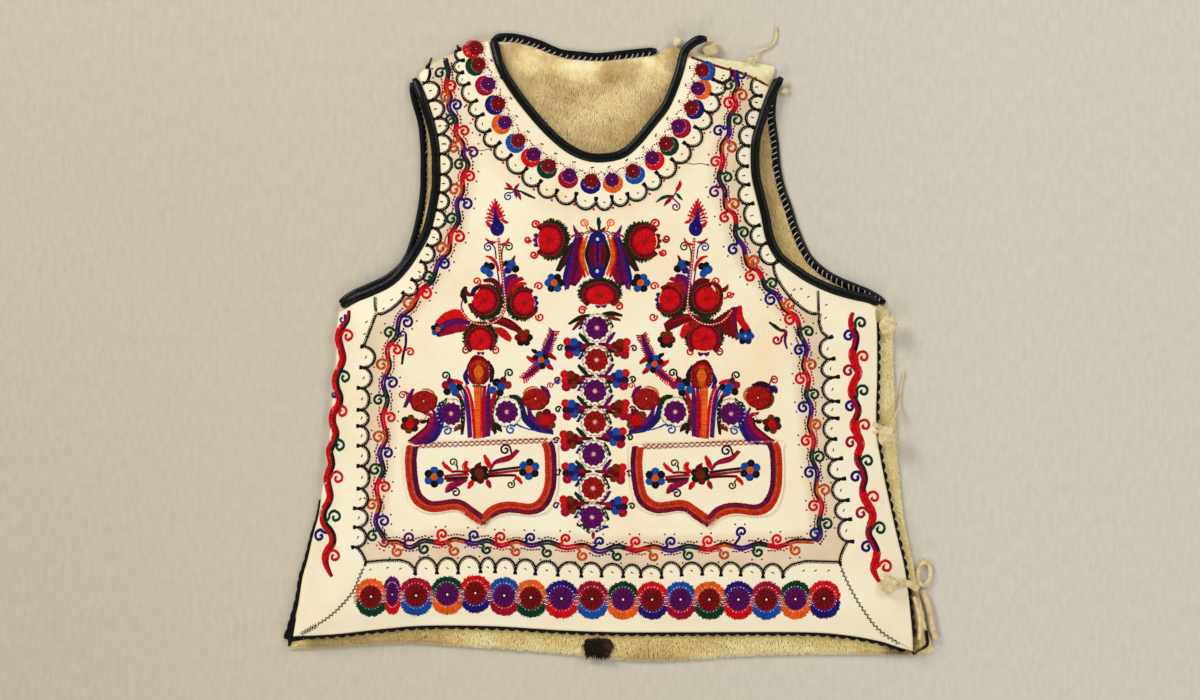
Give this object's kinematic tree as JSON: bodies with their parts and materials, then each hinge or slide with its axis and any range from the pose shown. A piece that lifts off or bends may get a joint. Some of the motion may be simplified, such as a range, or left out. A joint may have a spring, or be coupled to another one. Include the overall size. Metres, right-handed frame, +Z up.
{
  "type": "sheepskin vest",
  "caption": "Sleeveless sheepskin folk vest laid flat, front up: leather outside, wool inside, scalloped bands, pockets, one closed and one open shoulder and side.",
  "frame": {"origin": "on the surface it lies on, under the middle of the garment's outline", "axes": "+X towards the open side with the knots, +Y towards the neck, +Z up, out of the front panel"},
  "size_m": [0.5786, 0.5581, 0.029],
  "materials": {
    "white_hide": "matte",
    "kid": "satin",
    "wool": "matte",
    "black_leather": "gloss",
    "black_edging": "matte",
    "thong": "matte",
    "dark_fur": "matte"
  },
  "bodies": {
    "root": {"front_leather": "white_hide", "back_leather": "white_hide", "front_fleece": "wool", "back_fleece": "wool", "neck_band": "kid", "armhole_band_left": "kid", "armhole_band_right": "kid", "side_band_left": "kid", "side_band_right": "kid", "hem_band": "kid", "pocket_left": "kid", "pocket_right": "kid", "neck_binding_front": "black_leather", "neck_binding_back": "black_leather", "armhole_binding_left_front": "black_leather", "armhole_binding_left_back": "black_leather", "armhole_binding_right_front": "black_leather", "armhole_binding_right_back": "black_leather", "hem_edging": "black_edging", "side_edging_right": "black_edging", "side_edging_left": "black_edging", "back_corner_edging": "black_edging", "fur_patch": "dark_fur", "shoulder_knot": "thong", "shoulder_button": "thong", "shoulder_knot_outer": "thong", "shoulder_tag": "thong", "side_knot_top": "thong", "side_knot_middle": "thong", "side_knot_bottom": "thong", "side_loop_bottom": "thong", "side_strap_bottom": "thong", "shoulder_thong": "thong", "side_thong_middle": "thong", "side_thong_tail": "thong", "side_thong_inner": "thong"}
  },
  "joints": []
}
